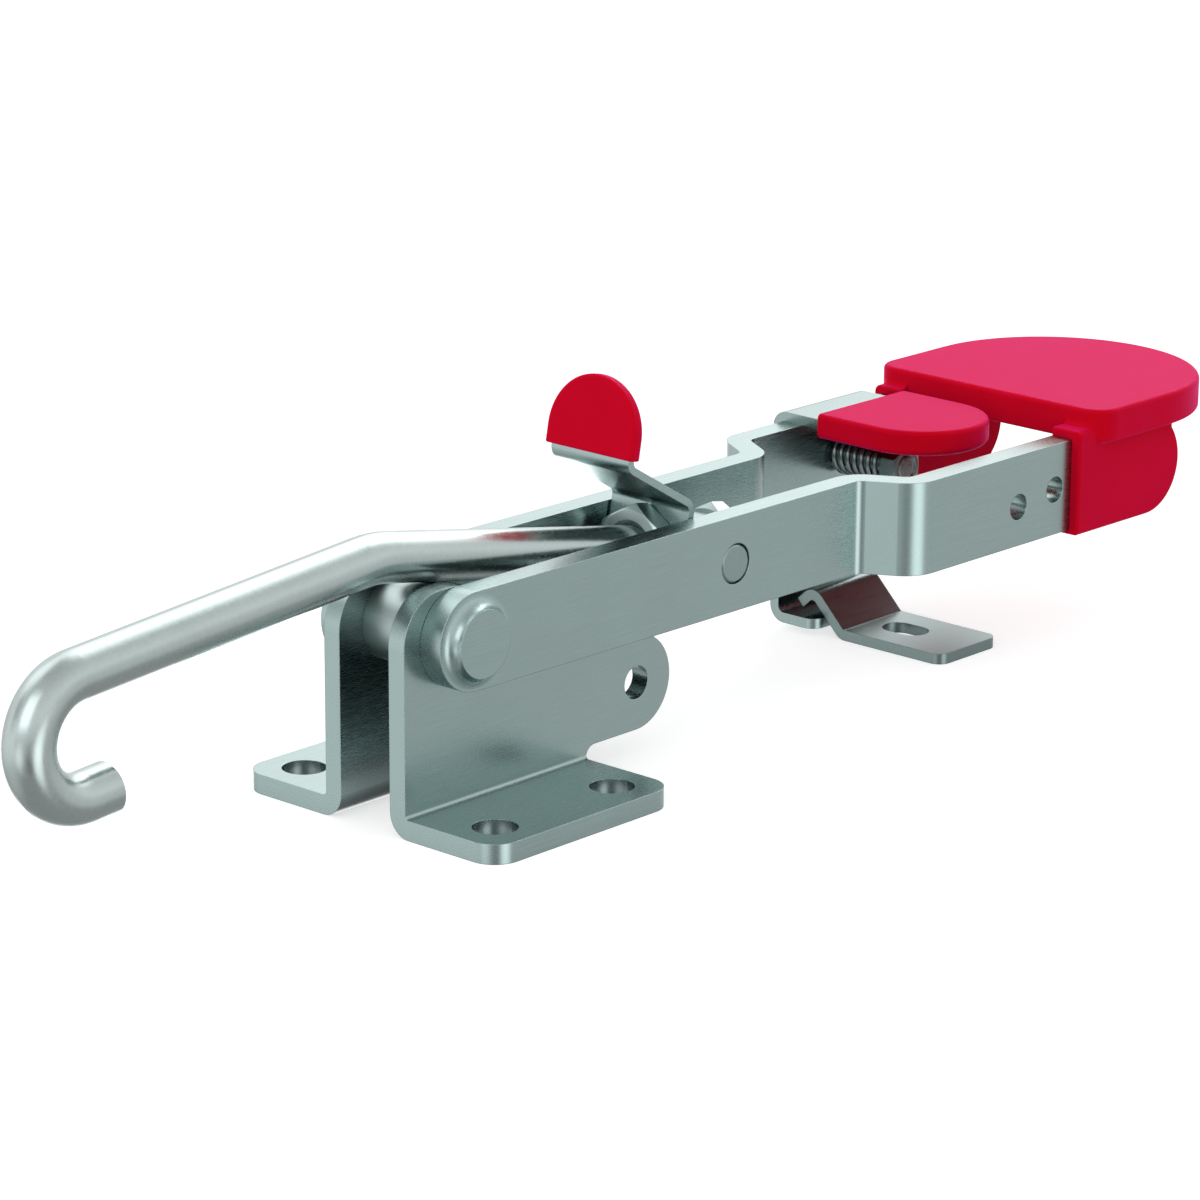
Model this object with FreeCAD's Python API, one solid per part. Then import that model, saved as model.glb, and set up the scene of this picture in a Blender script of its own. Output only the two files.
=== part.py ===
"""Over centre toggle latch with a J-hook, a lockable two-bar handle and a keeper plate.

Units are millimetres. X runs from the hook to the grip, +Z is up, and the latch is
symmetric about y = 0 apart from its lock. The origin is the centre of the four
fixing holes, on the mounting face.
"""
import FreeCAD
import Part
import math
import os

V = FreeCAD.Vector
ORIGIN = V(0, 0, 0)
X_AXIS = V(1, 0, 0)
Y_AXIS = V(0, 1, 0)
Z_AXIS = V(0, 0, 1)

# Clearances
RUN_FIT = 0.05          # radial gap of a pin that turns in its hole
SEAT_FIT = 0.03         # radial gap of a fixed pin or a nut's thread
FACE_GAP = 0.11         # between faces that slide past each other
SIDE_GAP = 0.41         # between the thumb bracket and the bars
BAR_GAP = 0.06          # between a bracket and the bar beside it
REST_GAP = 0.30         # between curved faces that rest on each other
CAP_FIT = 0.05          # between a moulded cap and the sheet inside it

# Base brackets, a mirrored pair of folded sheets
BASE_T = 3.95
PLATE_GAP = 12.8        # between the two upright plates
FLANGE_L = 49.0
FLANGE_HALF_W = 33.4
FLANGE_CORNER_R = 5.5
BASE_BEND_R = 0.8
HOLE_SPACING_X = 31.75
HOLE_SPACING_Y = 50.0
MOUNT_HOLE_D = 8.7
PLATE_TOP_Z = 46.0
PLATE_TOP_FLAT = 2.6
PLATE_FRONT_R = 9.7
LOBE_BACK = 14.17       # from the flange's rear end to the lobe's centre
LOBE_Z = 15.87
LOBE_R = 9.53
LOBE_HOLE_D = 6.6
NOTCH_R = 2.4

# Handle pivot, half-sheared bosses in the brackets inside half-sheared cups in the bars
PIVOT_BACK = 13.74      # from the plates' front edge
BOSS_R = 6.3
BOSS_H = 2.3
SPACER_D = 15.7
PIVOT_PIN_D = 8.0

# Handle bars, one blank used twice, the far one turned over
BAR_H = 19.12
BAR_T = 5.03
BAR_CENTRES = 188.2     # from the pivot to the centre of the rear end
BAR_TILT = 0.4217       # degrees, the closed handle falls towards the grip
EMBOSS_R = 6.6
EMBOSS_H = 2.5
EMBOSS_FILLET = 2.4
JOGGLE_AHEAD = 77.6     # where the middle line turns, from the rear end's centre
JOGGLE_OUT = 10.64
JOGGLE_ANGLE = 60.0
JOGGLE_R_IN = 2.5
LOCK_HOLE_D = 5.4
LOCK_HOLE_AHEAD = 40.96
LOCK_HOLE_Z = 1.35
PLAIN_HOLE_AHEAD = 29.12

# Trunnion
TRUNNION_X = 72.342     # from the pivot, on the bars' centre line
TRUNNION_D = 15.9
TENON_D = 8.1
TENON_CHAMFER = 0.55

# J-hook
ROD_D = 9.7
KINK_S = 84.89          # from the kink to the trunnion, along the rear shank
KINK_R = 27.0
FRONT_SLOPE = 4.43      # degrees, falls towards the hook
FRONT_SHANK = 73.8
HOOK_R = 11.34          # of the rod's axis
HOOK_TIP = 5.57
ROD_TAIL = 3.7          # past the rear nut
ROD_CHAMFER = 1.0

# Nuts on the rod
NUT_AF = 16.0
NUT_T = 5.0

# Thumb bracket and its cap
THUMB_T = 1.5
THUMB_BELOW = 8.6       # plate below the rod's axis
THUMB_CORNER_R = 4.0
THUMB_RISE = 10.597     # from the rod's axis to the lower bend, along the plate
RAMP_SLOPE = 30.9
RAMP_L = 20.83          # middle line, from the lower bend to the paddle's bend
PADDLE_LEAN = 11.1      # degrees, back from upright
THUMB_BEND_R = 1.3
CAP_RISE = 1.6          # from the paddle's bend to the cap's lower edge
CAP_STRAIGHT = 3.76
CAP_SIDE_WALL = 1.22
CAP_FRONT_WALL = 0.87
CAP_REAR_WALL = 0.86
CAP_REAR_R = 1.4
CAP_FRONT_R = 0.7
CAP_LOW_R = 0.4

# Lock lever, on the far bar
LEVER_T = 2.15
LEVER_W = 25.1
LEVER_AHEAD = 0.31      # from the lever's middle to the lock bolt
LEVER_REST = 1.6        # height of the flange's lower face, closed
LEVER_FLANGE = 12.05    # from the web's outer face to the flange's end
LEVER_BEND_R = 1.5
LEVER_TOP_R = 3.4
LEVER_CORNER_R = 3.0
LEVER_TILT = 10.3       # degrees, pressed
LEVER_REACH = 0.0       # y of the tab's round end's centre
LEVER_CAP_EDGE = 15.2   # y of the cap's straight edge
LEVER_CAP_SIDE = 1.75
LEVER_CAP_LOW = 1.45
LEVER_CAP_HIGH = 1.6
LEVER_CAP_TOP_R = 1.0
LEVER_CAP_LOW_R = 1.2
NUT_ROOM = 0.7          # depth of the cap's recess over the lock nut and spring

# Lock bolt, nut and spring
BOLT_D = 5.0
BOLT_HEAD_AF = 8.0
BOLT_HEAD_H = 3.5
LOCK_NUT_AF = 8.0
LOCK_NUT_T = 4.0
LOCK_NUT_FACE = 7.3     # y of the face that the spring presses on
SPRING_D = 8.4
SPRING_WIRE = 1.05
SPRING_TURNS = 7.0

# Keeper plate
KEEPER_T = 2.25
KEEPER_W = 19.0
KEEPER_AHEAD = 0.27     # from the keeper's middle to the lever's
KEEPER_FOOT = 26.5      # from the foot's end to the slope's bend
KEEPER_BEFORE = 4.88    # from the slope's bend to the lever's flange
KEEPER_SLOPE = 45.0
KEEPER_PEAK = 7.81      # rise of the slope
KEEPER_LIP = 4.58
KEEPER_LIP_SLOPE = 42.2
KEEPER_BEND_R = 1.0
KEEPER_CORNER_R = 2.75
KEEPER_SLOT_BACK = 9.4  # from the slope's bend to the slot's middle
KEEPER_SLOT_W = 6.8
KEEPER_SLOT_L = 10.6

# Grip, one moulding with two sleeves
GRIP_AHEAD = 19.49      # from the plate's front edge to the bars' rear centres
GRIP_BEHIND = 3.93      # from the bars' rear centres to the rear arc's centre
GRIP_OVERHANG = 2.08    # of the plate past the sleeves' outer walls
GRIP_CORNER_R = 5.4
GRIP_BOTTOM = -1.23     # from the bars' top
GRIP_TOP = 5.48
GRIP_TOP_R = 1.0
GRIP_LOW_R = 0.5
NEAR_LEAD = 4.4         # the near sleeve's mouth ahead of the plate
FAR_LEAD = 2.2
SLEEVE_IN = 2.0
SLEEVE_OUT = 2.12
SLEEVE_LOW = 0.9
SLEEVE_HIGH = 1.8
SLEEVE_FIT = 0.04
SLEEVE_CORNER_R = 1.4
SLEEVE_EDGE_R = 0.6
SLEEVE_BLEND_R = 1.2    # where a sleeve runs into the plate

# Derived places
PLATE_IN = PLATE_GAP / 2.0
PLATE_OUT = PLATE_IN + BASE_T
PIVOT_Z = PLATE_TOP_Z - PLATE_FRONT_R
ROD_R = ROD_D / 2.0
BAR_R = BAR_H / 2.0
BAR_IN = PLATE_OUT + BAR_GAP
BAR_OUT = BAR_IN + BAR_T
REAR_IN = BAR_IN + JOGGLE_OUT
REAR_OUT = REAR_IN + BAR_T
CUP_R = BOSS_R + RUN_FIT
PIVOT_X = PIVOT_BACK - FLANGE_L / 2.0
LOBE_X = LOBE_BACK + FLANGE_L / 2.0
PIVOT = V(PIVOT_X, 0, PIVOT_Z)
JOGGLE_CORNER = BAR_CENTRES - JOGGLE_AHEAD
LOCK_HOLE_X = BAR_CENTRES - LOCK_HOLE_AHEAD
PLAIN_HOLE_X = BAR_CENTRES - PLAIN_HOLE_AHEAD
LEVER_MID_X = LOCK_HOLE_X - LEVER_AHEAD
THUMB_W = 2.0 * (BAR_IN - SIDE_GAP)
GRIP_FRONT = BAR_CENTRES - GRIP_AHEAD
GRIP_ARC_X = BAR_CENTRES + GRIP_BEHIND
SLEEVE_INNER = REAR_IN - SLEEVE_IN
SLEEVE_OUTER = REAR_OUT + SLEEVE_OUT
SLEEVE_TOP = BAR_R + SLEEVE_HIGH
GRIP_HALF_W = SLEEVE_OUTER + GRIP_OVERHANG
TILT = math.radians(BAR_TILT)
TRUNNION = V(PIVOT_X + TRUNNION_X * math.cos(TILT), 0, PIVOT_Z - TRUNNION_X * math.sin(TILT))


def point(plane, u, v):
    """A point of a drawing plane: XZ, YZ or XY."""
    if plane == "XZ":
        return V(u, 0, v)
    if plane == "YZ":
        return V(0, u, v)
    return V(u, v, 0)


def rounded_face(plane, corners):
    """A face from corners (u, v, radius), each rounded with its own tangent arc."""
    count = len(corners)
    starts = []
    ends = []
    mids = []
    for i in range(count):
        u, v, r = corners[i]
        here = point(plane, u, v)
        back = point(plane, corners[i - 1][0], corners[i - 1][1]) - here
        ahead = point(plane, corners[(i + 1) % count][0], corners[(i + 1) % count][1]) - here
        back.normalize()
        ahead.normalize()
        if r <= 0.0:
            starts.append(here)
            ends.append(here)
            mids.append(None)
            continue
        half = back.getAngle(ahead) / 2.0
        along = r / math.tan(half)
        middle = back + ahead
        middle.normalize()
        starts.append(here + back * along)
        ends.append(here + ahead * along)
        mids.append(here + middle * (r / math.sin(half) - r))
    edges = []
    for i in range(count):
        if mids[i] is not None:
            edges.append(Part.Arc(starts[i], mids[i], ends[i]).toShape())
        following = starts[(i + 1) % count]
        if (following - ends[i]).Length > 1e-6:
            edges.append(Part.LineSegment(ends[i], following).toShape())
    return Part.Face(Part.Wire(edges))


def prism(face, direction, start, end):
    """Extrude a face of a drawing plane from one offset to another along its normal."""
    moved = face.copy()
    moved.translate(direction * start)
    return moved.extrude(direction * (end - start))


def fold_face(plane, path, thickness, inner, outer=None):
    """The section of a folded sheet whose middle line is path, with a radius at each bend."""
    if outer is None:
        outer = [r + thickness for r in inner]
    half = thickness / 2.0
    dirs = []
    for i in range(len(path) - 1):
        du = path[i + 1][0] - path[i][0]
        dv = path[i + 1][1] - path[i][1]
        size = math.hypot(du, dv)
        dirs.append((du / size, dv / size))
    left = []
    right = []
    for i in range(len(path)):
        u, v = path[i]
        if i == 0 or i == len(path) - 1:
            d = dirs[0] if i == 0 else dirs[-1]
            left.append((u - d[1] * half, v + d[0] * half, 0.0))
            right.append((u + d[1] * half, v - d[0] * half, 0.0))
            continue
        a = dirs[i - 1]
        b = dirs[i]
        cross = a[0] * b[1] - a[1] * b[0]
        dot = a[0] * b[0] + a[1] * b[1]
        mu = (-(a[1] + b[1])) / (1.0 + dot) * half
        mv = (a[0] + b[0]) / (1.0 + dot) * half
        r_left = inner[i - 1] if cross > 0 else outer[i - 1]
        r_right = outer[i - 1] if cross > 0 else inner[i - 1]
        left.append((u + mu, v + mv, r_left))
        right.append((u - mu, v - mv, r_right))
    return rounded_face(plane, left + right[::-1])


def rod(radius, base, axis, length):
    return Part.makeCylinder(radius, length, base, axis)


def cross_rod(radius, x, z, y0, y1):
    """A cylinder along Y from y0 to y1."""
    return rod(radius, V(x, y0, z), Y_AXIS, y1 - y0)


def round_edges(shape, radius, chosen):
    """Fillet the edges that a test picks by their middle point."""
    picked = []
    for edge in shape.Edges:
        if chosen(edge, edge.valueAt((edge.FirstParameter + edge.LastParameter) / 2.0)):
            picked.append(edge)
    return shape.makeFillet(radius, picked)


def hex_prism(across_flats, length, chamfered=(True, True)):
    """A hexagon along +X with a corner towards +Z and its corners turned down at the ends."""
    corner_r = across_flats / math.sqrt(3.0)
    corners = []
    for i in range(6):
        angle = math.radians(90.0 + 60.0 * i)
        corners.append((corner_r * math.cos(angle), corner_r * math.sin(angle), 0.0))
    body = prism(rounded_face("YZ", corners), X_AXIS, 0.0, length)
    drop = (corner_r - across_flats / 2.0 * 0.97) * math.tan(math.radians(30.0))
    flat_r = across_flats / 2.0 * 0.97
    low = drop if chamfered[0] else 0.0
    high = length - (drop if chamfered[1] else 0.0)
    outline = [(0.0, 0.0, 0.0)]
    outline.append((flat_r if chamfered[0] else corner_r + 0.01, 0.0, 0.0))
    if chamfered[0]:
        outline.append((corner_r + 0.001, low, 0.0))
    if chamfered[1]:
        outline.append((corner_r + 0.001, high, 0.0))
    outline.append((flat_r if chamfered[1] else corner_r + 0.01, length, 0.0))
    outline.append((0.0, length, 0.0))
    turned = []
    for r, x, ignored in outline:
        turned.append(V(x, 0, r))
    turned.append(turned[0])
    envelope = Part.Face(Part.makePolygon(turned)).revolve(ORIGIN, X_AXIS, 360.0)
    return body.common(envelope)


def nut(across_flats, length, bore_r):
    """A plain hexagon nut along +X, with a countersunk thread mouth on each side."""
    body = hex_prism(across_flats, length)
    body = body.cut(rod(bore_r, ORIGIN, X_AXIS, length))
    depth = 0.06 * across_flats
    for start, axis in ((0.0, X_AXIS), (length, -X_AXIS)):
        mouth = Part.makeCone(bore_r + depth, bore_r, depth, V(start, 0, 0), axis)
        body = body.cut(mouth)
    return body


def on_handle(shape):
    """Move a piece drawn about the pivot, with the bars level, to the closed handle."""
    placed = shape.copy()
    placed.rotate(ORIGIN, Y_AXIS, BAR_TILT)
    placed.translate(PIVOT)
    return placed


def mirrored(shape):
    return shape.mirror(ORIGIN, Y_AXIS)


def one_solid(shape):
    """The single solid of a shape, with the seams of joined faces removed."""
    clean = shape.removeSplitter()
    return clean.Solids[0]


# Base brackets

def plate_outline():
    """The side view of a bracket: front edge, top, sloping back, lobe and notch."""
    half_l = FLANGE_L / 2.0
    front_x = -half_l
    flat_x = front_x + PLATE_FRONT_R
    top_arc_x = flat_x + PLATE_TOP_FLAT
    arc_z = PLATE_TOP_Z - PLATE_FRONT_R
    dx = LOBE_X - top_arc_x
    dz = LOBE_Z - arc_z
    span = math.hypot(dx, dz)
    lean = math.asin((PLATE_FRONT_R - LOBE_R) / span)
    normal = math.atan2(dz, dx) + math.pi / 2.0 - lean
    n = V(math.cos(normal), 0, math.sin(normal))
    half_turn = math.pi / 4.0 + normal / 2.0
    q = math.sqrt(0.5)
    top_mid = V(math.cos(half_turn), 0, math.sin(half_turn))
    lobe = V(LOBE_X, 0, LOBE_Z)
    top_c = V(top_arc_x, 0, arc_z)
    flat_c = V(flat_x, 0, arc_z)
    lobe_low = V(LOBE_X, 0, LOBE_Z - LOBE_R)
    notch_c = V(half_l + NOTCH_R, 0, LOBE_Z - LOBE_R - NOTCH_R)
    notch_top = notch_c + V(0, 0, NOTCH_R)
    notch_low = notch_c - V(NOTCH_R, 0, 0)
    corner = V(-q, 0, q) * PLATE_FRONT_R
    edges = [
        Part.LineSegment(V(front_x, 0, 0), V(front_x, 0, arc_z)).toShape(),
        Part.Arc(V(front_x, 0, arc_z), flat_c + corner, V(flat_x, 0, PLATE_TOP_Z)).toShape(),
        Part.LineSegment(V(flat_x, 0, PLATE_TOP_Z), V(top_arc_x, 0, PLATE_TOP_Z)).toShape(),
        Part.Arc(V(top_arc_x, 0, PLATE_TOP_Z), top_c + top_mid * PLATE_FRONT_R,
                 top_c + n * PLATE_FRONT_R).toShape(),
        Part.LineSegment(top_c + n * PLATE_FRONT_R, lobe + n * LOBE_R).toShape(),
        Part.Arc(lobe + n * LOBE_R, lobe + V(LOBE_R, 0, 0), lobe_low).toShape(),
        Part.LineSegment(lobe_low, notch_top).toShape(),
        Part.Arc(notch_top, notch_c + V(-q, 0, q) * NOTCH_R, notch_low).toShape(),
        Part.LineSegment(notch_low, V(half_l, 0, 0)).toShape(),
        Part.LineSegment(V(half_l, 0, 0), V(front_x, 0, 0)).toShape(),
    ]
    return Part.Face(Part.Wire(edges))


def base_bracket():
    """The far bracket: a folded sheet trimmed to its side view, with a pivot boss."""
    half_l = FLANGE_L / 2.0
    middle = PLATE_IN + BASE_T / 2.0
    path = [(middle, PLATE_TOP_Z + 1.0), (middle, BASE_T / 2.0), (FLANGE_HALF_W, BASE_T / 2.0)]
    section = fold_face("YZ", path, BASE_T, [BASE_BEND_R])
    body = prism(section, X_AXIS, -half_l, LOBE_X + LOBE_R)
    body = body.common(prism(plate_outline(), Y_AXIS, 0.0, FLANGE_HALF_W + 1.0))
    body = one_solid(body)

    def flange_corner(edge, mid):
        upright = abs(edge.tangentAt(edge.FirstParameter).z) > 0.99
        return upright and mid.y > FLANGE_HALF_W - 0.01

    body = round_edges(body, FLANGE_CORNER_R, flange_corner)
    boss = cross_rod(BOSS_R, PIVOT_X, PIVOT_Z, PLATE_OUT - 0.5, PLATE_OUT + BOSS_H)
    body = body.fuse(boss)
    pin_hole_r = PIVOT_PIN_D / 2.0 + SEAT_FIT
    body = body.cut(cross_rod(pin_hole_r, PIVOT_X, PIVOT_Z, 0.0, PLATE_OUT + BOSS_H + 1.0))
    body = body.cut(cross_rod(LOBE_HOLE_D / 2.0, LOBE_X, LOBE_Z, 0.0, PLATE_OUT + 1.0))
    for side in (-1.0, 1.0):
        base = V(side * HOLE_SPACING_X / 2.0, HOLE_SPACING_Y / 2.0, -1.0)
        body = body.cut(rod(MOUNT_HOLE_D / 2.0, base, Z_AXIS, BASE_T + 2.0))
    return one_solid(body)


def pivot_spacer():
    body = cross_rod(SPACER_D / 2.0, PIVOT_X, PIVOT_Z, -PLATE_IN, PLATE_IN)
    bore = cross_rod(PIVOT_PIN_D / 2.0 + SEAT_FIT, PIVOT_X, PIVOT_Z, -PLATE_IN, PLATE_IN)
    return body.cut(bore)


def pivot_pin():
    end = PLATE_OUT + BOSS_H
    body = cross_rod(PIVOT_PIN_D / 2.0, PIVOT_X, PIVOT_Z, -end, end)
    return round_edges(body, 0.4, lambda edge, mid: abs(abs(mid.y) - end) < 0.01)


# Handle bars, drawn level about the pivot

def bar_plan():
    """The plan view of the far bar: two straight runs and the joggle between them."""
    middle = BAR_IN + BAR_T / 2.0
    run = JOGGLE_OUT / math.tan(math.radians(JOGGLE_ANGLE))
    path = [(-BAR_R - 1.0, middle), (JOGGLE_CORNER, middle)]
    path.append((JOGGLE_CORNER + run, middle + JOGGLE_OUT))
    path.append((BAR_CENTRES + BAR_R + 1.0, middle + JOGGLE_OUT))
    return fold_face("XY", path, BAR_T, [JOGGLE_R_IN, JOGGLE_R_IN])


def stadium(plane_x0, plane_x1, radius):
    """A side view with a half circle at each end."""
    top = V(0, 0, radius)
    a = V(plane_x0, 0, 0)
    b = V(plane_x1, 0, 0)
    edges = [
        Part.LineSegment(a + top, b + top).toShape(),
        Part.Arc(b + top, b + V(radius, 0, 0), b - top).toShape(),
        Part.LineSegment(b - top, a - top).toShape(),
        Part.Arc(a - top, a - V(radius, 0, 0), a + top).toShape(),
    ]
    return Part.Face(Part.Wire(edges))


def handle_bar(lock_hole_z):
    """The far bar, or with another hole height its twin before it is mirrored."""
    body = prism(bar_plan(), Z_AXIS, -BAR_R, BAR_R)
    side = prism(stadium(0.0, BAR_CENTRES, BAR_R), Y_AXIS, 0.0, REAR_OUT + 1.0)
    body = body.common(side)
    disc = cross_rod(EMBOSS_R, 0.0, 0.0, BAR_IN + EMBOSS_H, BAR_OUT + EMBOSS_H)
    body = body.fuse(disc)

    def disc_foot(edge, mid):
        round_edge = hasattr(edge.Curve, "Radius") and abs(edge.Curve.Radius - EMBOSS_R) < 0.01
        return round_edge and abs(mid.y - BAR_OUT) < 0.01

    foot_r = min(EMBOSS_FILLET, 0.9 * (BAR_R - EMBOSS_R))
    body = round_edges(one_solid(body), foot_r, disc_foot)
    body = body.cut(cross_rod(CUP_R, 0.0, 0.0, 0.0, BAR_IN + EMBOSS_H))
    tenon_hole = TENON_D / 2.0 + RUN_FIT
    body = body.cut(cross_rod(tenon_hole, TRUNNION_X, 0.0, 0.0, BAR_OUT + 1.0))
    for x, z in ((LOCK_HOLE_X, lock_hole_z), (PLAIN_HOLE_X, 0.0)):
        body = body.cut(cross_rod(LOCK_HOLE_D / 2.0, x, z, 0.0, REAR_OUT + 1.0))
    return one_solid(body)


# Grip, drawn level about the pivot

def grip_plan():
    """A straight front edge, rounded corners, straight sides and a half round rear."""
    w = GRIP_HALF_W
    r = GRIP_CORNER_R
    q = r * math.sqrt(0.5)
    front = GRIP_FRONT
    near = V(front + r, r - w, 0)
    far = V(front + r, w - r, 0)
    edges = [
        Part.LineSegment(V(front, w - r, 0), V(front, r - w, 0)).toShape(),
        Part.Arc(V(front, r - w, 0), near - V(q, q, 0), V(front + r, -w, 0)).toShape(),
        Part.LineSegment(V(front + r, -w, 0), V(GRIP_ARC_X, -w, 0)).toShape(),
        Part.Arc(V(GRIP_ARC_X, -w, 0), V(GRIP_ARC_X + w, 0, 0), V(GRIP_ARC_X, w, 0)).toShape(),
        Part.LineSegment(V(GRIP_ARC_X, w, 0), V(front + r, w, 0)).toShape(),
        Part.Arc(V(front + r, w, 0), far + V(-q, q, 0), V(front, w - r, 0)).toShape(),
    ]
    return Part.Face(Part.Wire(edges))


def sleeve(lead):
    """The far sleeve: a shoe round the bar's end, with no inner wall ahead of the plate."""
    mouth = GRIP_FRONT - lead
    low_r = BAR_R + SLEEVE_LOW
    width = SLEEVE_OUTER - SLEEVE_INNER
    body = prism(stadium(mouth, BAR_CENTRES, low_r), Y_AXIS, SLEEVE_INNER, SLEEVE_OUTER)
    body = body.fuse(Part.makeBox(BAR_CENTRES - mouth, width, SLEEVE_TOP,
                                  V(mouth, SLEEVE_INNER, 0.0)))
    ahead = Part.makeBox(2.0 * low_r, SLEEVE_OUTER, 3.0 * low_r,
                         V(mouth - 2.0 * low_r, 1.0, -low_r))
    side = Part.makeBox(lead, SLEEVE_IN, 3.0 * low_r, V(mouth, SLEEVE_INNER, -low_r))
    body = one_solid(body.cut([ahead, side]))

    def top_corner(edge, mid):
        return abs(mid.y - SLEEVE_OUTER) < 0.01 and abs(mid.z - SLEEVE_TOP) < 0.01

    def rim(edge, mid):
        at_mouth = abs(mid.x - mouth) < 0.01 and (mid.y > REAR_OUT or mid.z > BAR_R)
        return at_mouth or (abs(mid.y - SLEEVE_OUTER) < 0.01 and mid.z < 1.0)

    body = round_edges(body, SLEEVE_CORNER_R, top_corner)
    return round_edges(body, SLEEVE_EDGE_R, rim)


def grip():
    """One moulding: a D-shaped plate over two sleeves that the bars' ends fill."""
    low = BAR_R + GRIP_BOTTOM
    high = BAR_R + GRIP_TOP
    plate = prism(grip_plan(), Z_AXIS, low, high)
    body = one_solid(plate.fuse([sleeve(FAR_LEAD), mirrored(sleeve(NEAR_LEAD))]))

    def low_rim(edge, mid):
        level = abs(mid.z - low) < 0.01 and edge.BoundBox.ZLength < 0.01
        beside = abs(mid.y) > SLEEVE_OUTER + 0.1
        behind = mid.x > BAR_CENTRES + BAR_R + 3.0
        return level and (abs(mid.x - GRIP_FRONT) < 0.01 or beside or behind)

    def blend(edge, mid):
        near_front = GRIP_FRONT - 0.01 < mid.x < GRIP_FRONT + 1.5
        across = abs(mid.z - SLEEVE_TOP) < 0.01 and abs(mid.y) > REAR_IN + 0.1
        down = mid.x > GRIP_FRONT + 0.01 and low + 0.01 < mid.z < SLEEVE_TOP
        return near_front and (across or (down and abs(mid.y) > REAR_OUT))

    body = round_edges(body, GRIP_LOW_R, low_rim)
    body = round_edges(body, SLEEVE_BLEND_R, blend)
    body = round_edges(body, GRIP_TOP_R, lambda edge, mid: mid.z > high - 0.01)
    for lead, side in ((FAR_LEAD, 1.0), (NEAR_LEAD, -1.0)):
        hollow = prism(stadium(GRIP_FRONT - lead - 2.0 * BAR_R, BAR_CENTRES,
                               BAR_R + SLEEVE_FIT), Y_AXIS,
                       side * (REAR_IN - SLEEVE_FIT), side * (REAR_OUT + SLEEVE_FIT))
        body = body.cut(hollow)
    return one_solid(body)


# Trunnion, J-hook and nuts

def shank_slope():
    """The rear shank's slope, which lays the rod on the spacer with REST_GAP."""
    reach = SPACER_D / 2.0 + ROD_R + REST_GAP
    return math.asin(reach / TRUNNION_X) + TILT


def along_shank(s, up=0.0):
    """The point at s from the kink along the rear shank, and up from its axis."""
    a = shank_slope()
    back = KINK_S - s
    x = TRUNNION.x - back * math.cos(a) + up * math.sin(a)
    z = TRUNNION.z + back * math.sin(a) + up * math.cos(a)
    return V(x, 0, z)


def on_shank(shape, s):
    """Place a piece drawn along +X from the origin at s along the rear shank."""
    placed = shape.copy()
    placed.rotate(ORIGIN, Y_AXIS, math.degrees(shank_slope()))
    placed.translate(along_shank(s))
    return placed


TRUNNION_R = TRUNNION_D / 2.0
REAR_NUT_S = KINK_S + TRUNNION_R
ROD_END_S = REAR_NUT_S + NUT_T + ROD_TAIL
THUMB_S = KINK_S - TRUNNION_R - FACE_GAP / 2.0 - THUMB_T
FRONT_NUT_S = THUMB_S - NUT_T


def trunnion():
    """A turned barrel between the bars, with a tenon in each and a cross hole for the rod."""
    half = BAR_IN - FACE_GAP
    tenon_r = TENON_D / 2.0
    profile = [(0.0, -BAR_OUT), (tenon_r - TENON_CHAMFER, -BAR_OUT)]
    profile.append((tenon_r, -BAR_OUT + TENON_CHAMFER))
    profile.append((tenon_r, -half))
    profile.append((TRUNNION_R, -half))
    full = profile + [(r, -y) for r, y in reversed(profile)]
    points = [V(r, y, 0) for r, y in full]
    points.append(points[0])
    body = Part.Face(Part.makePolygon(points)).revolve(ORIGIN, Y_AXIS, 360.0)
    body.translate(TRUNNION)
    hole = rod(ROD_R + SEAT_FIT, V(-TRUNNION_D, 0, 0), X_AXIS, 2.0 * TRUNNION_D)
    return one_solid(body.cut(on_shank(hole, KINK_S)))


def j_hook():
    """A rod swept along its axis: tip, hook, front shank, kink and rear shank."""
    fall = math.radians(FRONT_SLOPE)
    kink = along_shank(0.0)
    front = V(-math.cos(fall), 0, -math.sin(fall))
    rear = V(math.cos(shank_slope()), 0, -math.sin(shank_slope()))
    side = V(front.z, 0, -front.x)
    down = side * -1.0
    start = kink + front * FRONT_SHANK
    centre = start + down * HOOK_R
    turn_end = centre + down * HOOK_R
    tip = turn_end - front * HOOK_TIP
    half = (math.pi - front.getAngle(rear)) / 2.0
    reach = KINK_R * math.tan(half)
    kink_a = kink + front * reach
    kink_b = kink + rear * reach
    inward = front + rear
    inward.normalize()
    kink_mid = kink + inward * (KINK_R / math.cos(half) - KINK_R)
    end = along_shank(ROD_END_S)
    path = Part.Wire([
        Part.LineSegment(tip, turn_end).toShape(),
        Part.Arc(turn_end, centre + front * HOOK_R, start).toShape(),
        Part.LineSegment(start, kink_a).toShape(),
        Part.Arc(kink_a, kink_mid, kink_b).toShape(),
        Part.LineSegment(kink_b, end).toShape(),
    ])
    ring = Part.Wire(Part.makeCircle(ROD_R, tip, front * -1.0))
    body = Part.Solid(path.makePipeShell([ring], True, True))

    def rod_end(edge, mid):
        away = (mid - end).dot(rear)
        return abs(away) < 0.01 and (mid - end).Length < ROD_R + 0.1

    picked = [e for e in body.Edges
              if rod_end(e, e.valueAt((e.FirstParameter + e.LastParameter) / 2.0))]
    return body.makeChamfer(ROD_CHAMFER, picked)


# Thumb bracket and cap

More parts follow.
